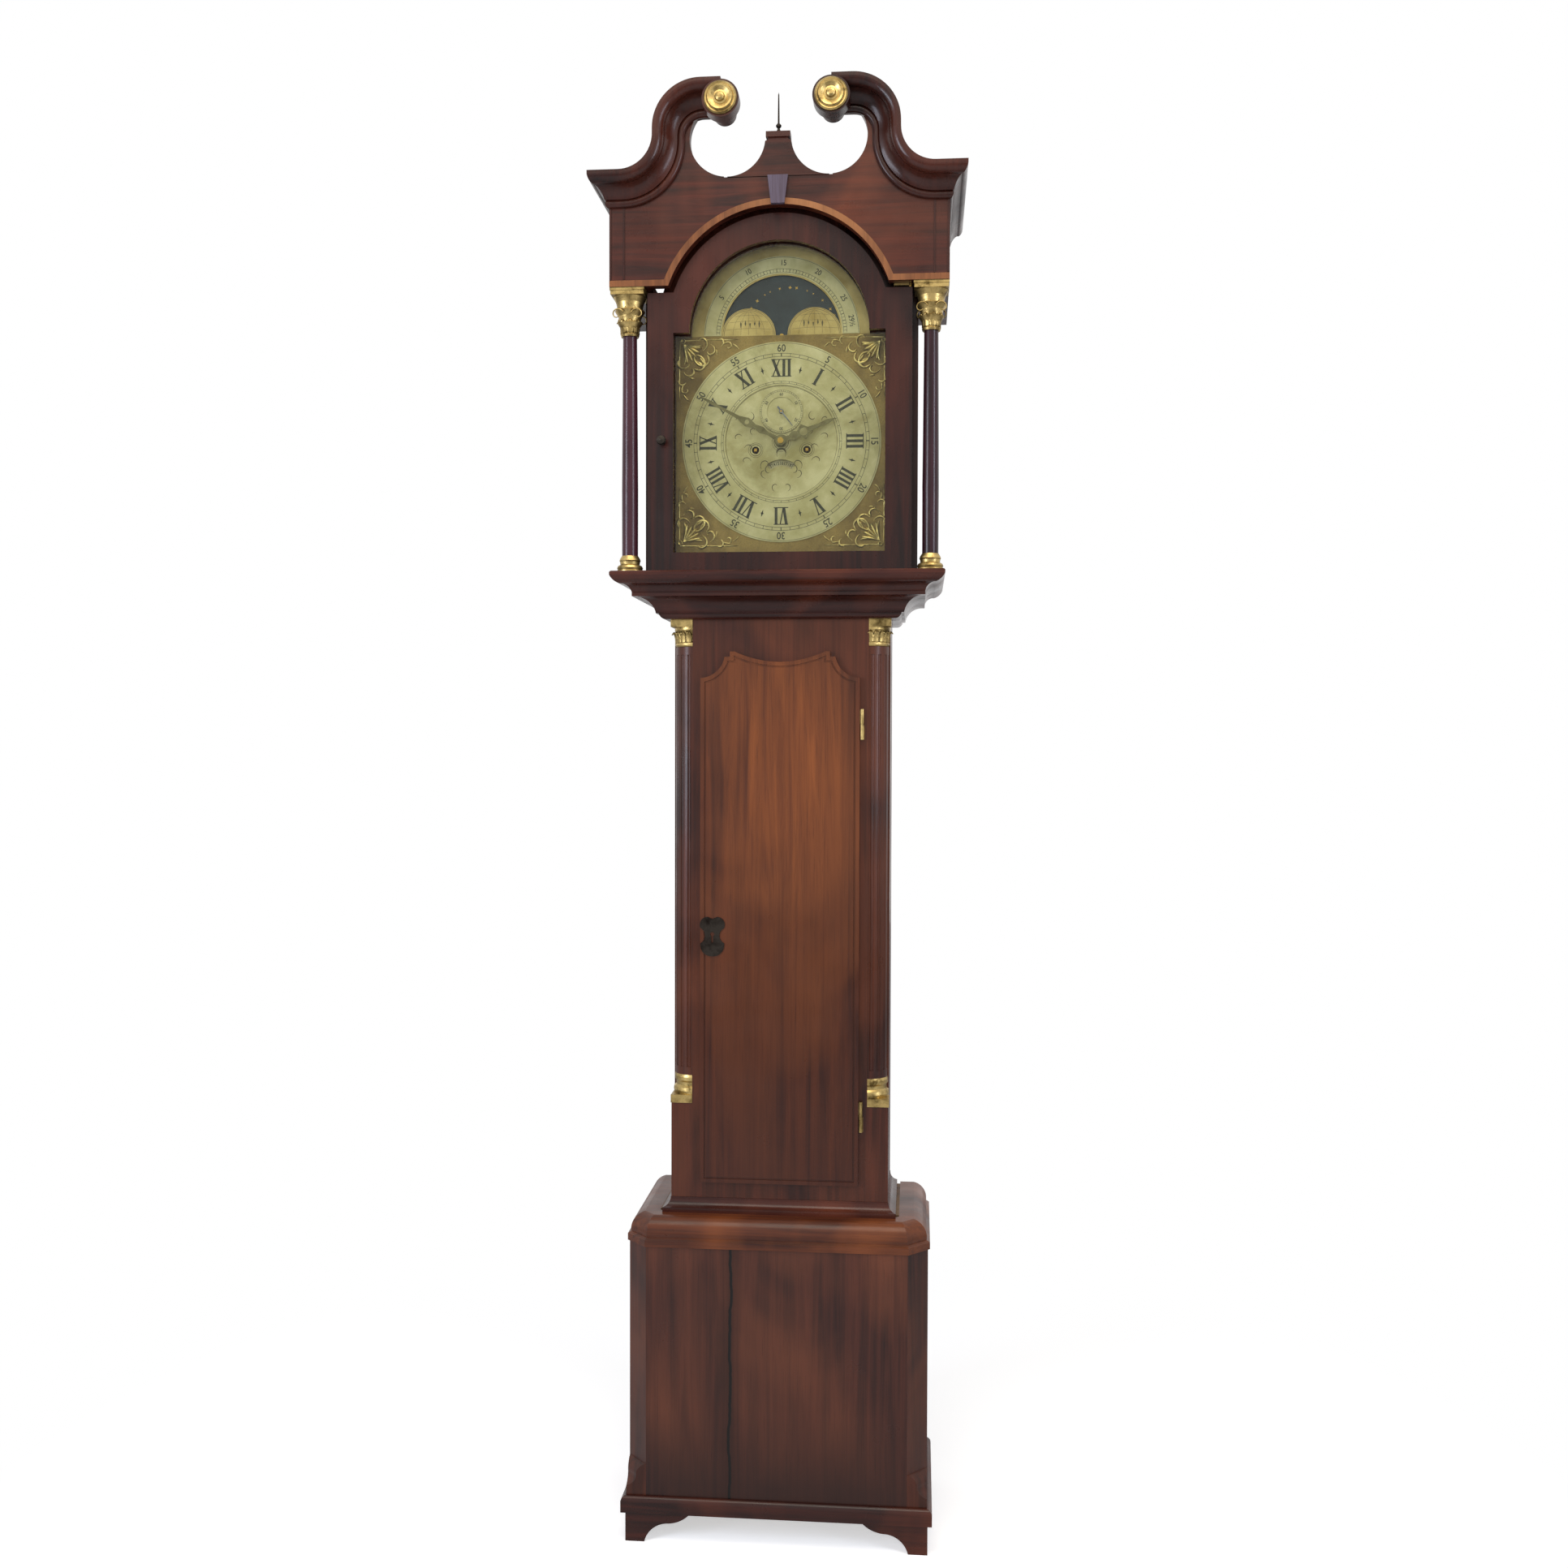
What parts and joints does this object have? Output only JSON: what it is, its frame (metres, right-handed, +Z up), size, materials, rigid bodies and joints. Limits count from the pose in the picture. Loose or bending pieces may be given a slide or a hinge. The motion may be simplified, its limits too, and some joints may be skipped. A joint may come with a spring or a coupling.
{
  "type": "longcase clock",
  "caption": "Longcase clock: swan-neck hood with columns and arched dial, shaped trunk door, canted base on bracket feet.",
  "frame": {"origin": "on the floor under the middle of the whole clock", "axes": "+Z up the clock, +X to the right as the dial is seen, -Y out of the dial towards the viewer"},
  "size_m": [0.552, 0.293, 2.17],
  "materials": {
    "mahogany_case": "satin",
    "mahogany_door": "satin",
    "mahogany_hood": "satin",
    "light_banding": "satin",
    "oak_boards": "matte",
    "lacquered_brass": "satin",
    "dial_brass": "satin",
    "silvered_brass": "matte",
    "dark_iron": "matte",
    "glass": "gloss",
    "movement_brass": "satin",
    "steel": "satin",
    "hand_brass": "satin",
    "bell_metal": "satin",
    "painted_discs": "satin",
    "bob_brass": "gloss",
    "lead_weight": "matte",
    "gut_line": "satin"
  },
  "bodies": {
    "case": {"base_front_panel": "mahogany_case", "base_sides": "mahogany_case", "base_top_moulding": "mahogany_case", "bracket_plinth": "mahogany_case", "plinth_band": "mahogany_case", "back_boards": "oak_boards", "trunk_front_frame": "mahogany_case", "trunk_sides": "mahogany_case", "trunk_foot_moulding": "mahogany_case", "throat_moulding": "mahogany_case", "quarter_columns": "mahogany_case", "trunk_brasses": "lacquered_brass", "dial_plate": "dial_brass", "dial_rings": "silvered_brass", "spandrels": "lacquered_brass", "movement_plates": "movement_brass", "movement_pillars": "movement_brass", "seat_board": "oak_boards", "movement_cocks": "steel", "bell": "bell_metal"},
    "trunk_door": {"trunk_door_board": "mahogany_door", "trunk_lock": "dark_iron", "trunk_hinge_knuckles": "lacquered_brass"},
    "hood": {"pediment_board": "mahogany_hood", "finial_spike": "dark_iron", "pediment_mouldings": "mahogany_hood", "paterae": "lacquered_brass", "hood_carcass": "mahogany_hood", "hood_base_moulding": "mahogany_hood", "dial_mask": "mahogany_hood", "arch_banding": "light_banding", "keystone": "light_banding", "hood_column_shafts": "mahogany_hood", "hood_brasses": "lacquered_brass"},
    "hood_door": {"hood_door_frame": "mahogany_hood", "hood_door_glass": "glass", "hood_door_knob": "lacquered_brass"},
    "minute_train": {"minute_hand": "hand_brass", "cannon_pinion": "movement_brass"},
    "hour_train": {"hour_hand": "hand_brass", "hour_wheel": "movement_brass"},
    "minute_wheel": {"minute_wheel": "movement_brass"},
    "escape_train": {"seconds_hand": "steel", "escape_wheel": "movement_brass"},
    "third_wheel": {"third_wheel": "movement_brass"},
    "centre_wheel": {"centre_wheel": "movement_brass"},
    "great_wheel": {"going_great_wheel": "movement_brass"},
    "going_barrel": {"going_barrel": "movement_brass"},
    "strike_barrel": {"strike_barrel": "movement_brass"},
    "going_weight": {"going_weight": "lead_weight", "going_line": "gut_line"},
    "strike_weight": {"strike_weight": "lead_weight", "strike_line": "gut_line"},
    "moon_disc": {"moon_disc": "painted_discs"},
    "date_disc": {"date_disc": "painted_discs"},
    "hammer": {"hammer": "steel"},
    "pallets": {"pallets_and_crutch": "steel"},
    "pendulum": {"pendulum_rod": "steel", "pendulum_bob": "bob_brass"}
  },
  "joints": [
    {"name": "trunk_door_hinge", "type": "hinge", "parent": "case", "child": "trunk_door", "pos_m": [0.1242, -0.0425, 0.9], "axis": [0, 0, 1], "range_deg": [0, 105]},
    {"name": "hood_slide", "type": "slide", "parent": "case", "child": "hood", "axis": [0, -1, 0], "range_m": [0, 0.34]},
    {"name": "hood_door_hinge", "type": "hinge", "parent": "hood", "child": "hood_door", "pos_m": [0.194, -0.0735, 1.67], "axis": [0, 0, 1], "range_deg": [0, 90]},
    {"name": "minute_turn", "type": "hinge", "parent": "case", "child": "minute_train", "pos_m": [0, -0.0385, 1.665], "axis": [0, 1, 0], "continuous": true},
    {"name": "hour_turn", "type": "hinge", "parent": "case", "child": "hour_train", "pos_m": [0, -0.0385, 1.665], "axis": [0, 1, 0], "continuous": true},
    {"name": "minute_wheel_turn", "type": "hinge", "parent": "case", "child": "minute_wheel", "pos_m": [0, -0.0085, 1.635], "axis": [0, 1, 0], "continuous": true},
    {"name": "seconds_turn", "type": "hinge", "parent": "case", "child": "escape_train", "pos_m": [0, 0.0115, 1.711], "axis": [0, 1, 0], "continuous": true},
    {"name": "third_wheel_turn", "type": "hinge", "parent": "case", "child": "third_wheel", "pos_m": [0.018, 0.0115, 1.688], "axis": [0, 1, 0], "continuous": true},
    {"name": "centre_wheel_turn", "type": "hinge", "parent": "case", "child": "centre_wheel", "pos_m": [0, 0.0115, 1.665], "axis": [0, 1, 0], "continuous": true},
    {"name": "great_wheel_turn", "type": "hinge", "parent": "case", "child": "great_wheel", "pos_m": [0.039, 0.0515, 1.6534], "axis": [0, 1, 0], "continuous": true},
    {"name": "moon_turn", "type": "hinge", "parent": "case", "child": "moon_disc", "pos_m": [0, -0.0265, 1.826], "axis": [0, 1, 0], "continuous": true},
    {"name": "date_turn", "type": "hinge", "parent": "case", "child": "date_disc", "pos_m": [0, -0.0265, 1.603], "axis": [0, 1, 0], "continuous": true},
    {"name": "hammer_lift", "type": "hinge", "parent": "case", "child": "hammer", "pos_m": [-0.052, 0.0335, 1.705], "axis": [0, 1, 0], "range_deg": [-14, 0], "stiffness_Nm_per_rad": 0.15, "springref_deg": 17.19},
    {"name": "pendulum_swing", "type": "hinge", "parent": "case", "child": "pendulum", "pos_m": [0, 0.0795, 1.745], "axis": [0, 1, 0], "range_deg": [-3, 3]},
    {"name": "pallets_rock", "type": "hinge", "parent": "case", "child": "pallets", "pos_m": [0, 0.0535, 1.745], "axis": [0, 1, 0], "range_deg": [-3.2, 3.2]},
    {"name": "going_weight_run", "type": "slide", "parent": "case", "child": "going_weight", "axis": [0, 0, 1], "range_m": [-0.5, 0.55], "deforming": ["going_line"]},
    {"name": "strike_weight_run", "type": "slide", "parent": "case", "child": "strike_weight", "axis": [0, 0, 1], "range_m": [-0.5, 0.55], "deforming": ["strike_line"]},
    {"name": "going_barrel_turn", "type": "hinge", "parent": "case", "child": "going_barrel", "pos_m": [0.039, 0.0335, 1.6534], "axis": [0, 1, 0], "range_deg": [-2600, 2400]},
    {"name": "strike_barrel_turn", "type": "hinge", "parent": "case", "child": "strike_barrel", "pos_m": [-0.039, 0.0335, 1.6534], "axis": [0, 1, 0], "range_deg": [-2400, 2600]}
  ],
  "couplings": [
    {"joint": "hour_turn", "follows": "minute_turn", "ratio": 0.083333},
    {"joint": "minute_wheel_turn", "follows": "minute_turn", "ratio": -1},
    {"joint": "third_wheel_turn", "follows": "seconds_turn", "ratio": -0.125},
    {"joint": "centre_wheel_turn", "follows": "seconds_turn", "ratio": 0.016667},
    {"joint": "great_wheel_turn", "follows": "seconds_turn", "ratio": -0.0013889},
    {"joint": "pallets_rock", "follows": "pendulum_swing", "ratio": 1},
    {"joint": "going_barrel_turn", "follows": "going_weight_run", "rad_per_m": -80.808},
    {"joint": "strike_barrel_turn", "follows": "strike_weight_run", "rad_per_m": 80.808}
  ]
}
